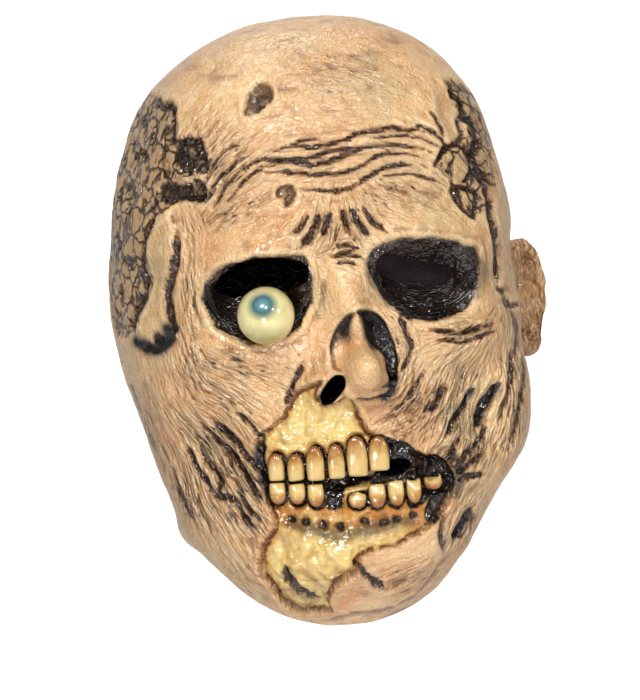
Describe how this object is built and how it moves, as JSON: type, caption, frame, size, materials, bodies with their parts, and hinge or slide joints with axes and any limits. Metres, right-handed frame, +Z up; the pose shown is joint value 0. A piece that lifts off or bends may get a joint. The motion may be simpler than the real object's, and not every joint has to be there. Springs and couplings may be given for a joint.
{
  "type": "zombie mask",
  "caption": "Hollow latex zombie mask for the whole head, with an eyeball in its right socket, dark gauze behind its left eye hole, a rotted nose and bare crooked teeth.",
  "frame": {"origin": "the point inside the crown where the casting sits on the wearer's head", "axes": "+Z up, the face looks along -Y, +X to the wearer's left"},
  "size_m": [0.2077, 0.2162, 0.275],
  "materials": {
    "latex": "semi-gloss painted latex",
    "eyeball": "wet gloss",
    "gauze": "matte net",
    "teeth": "gloss"
  },
  "bodies": {
    "root": {"latex_casting": "latex", "eyeball": "eyeball", "eye_gauze": "gauze", "tooth_upper_1": "teeth", "tooth_upper_2": "teeth", "tooth_upper_3": "teeth", "tooth_upper_4": "teeth", "tooth_upper_5": "teeth", "tooth_upper_6": "teeth", "tooth_lower_1": "teeth", "tooth_lower_2": "teeth", "tooth_lower_3": "teeth", "tooth_lower_4": "teeth", "tooth_lower_5": "teeth", "tooth_lower_6": "teeth", "tooth_lower_7": "teeth", "tooth_lower_8": "teeth"}
  },
  "joints": []
}
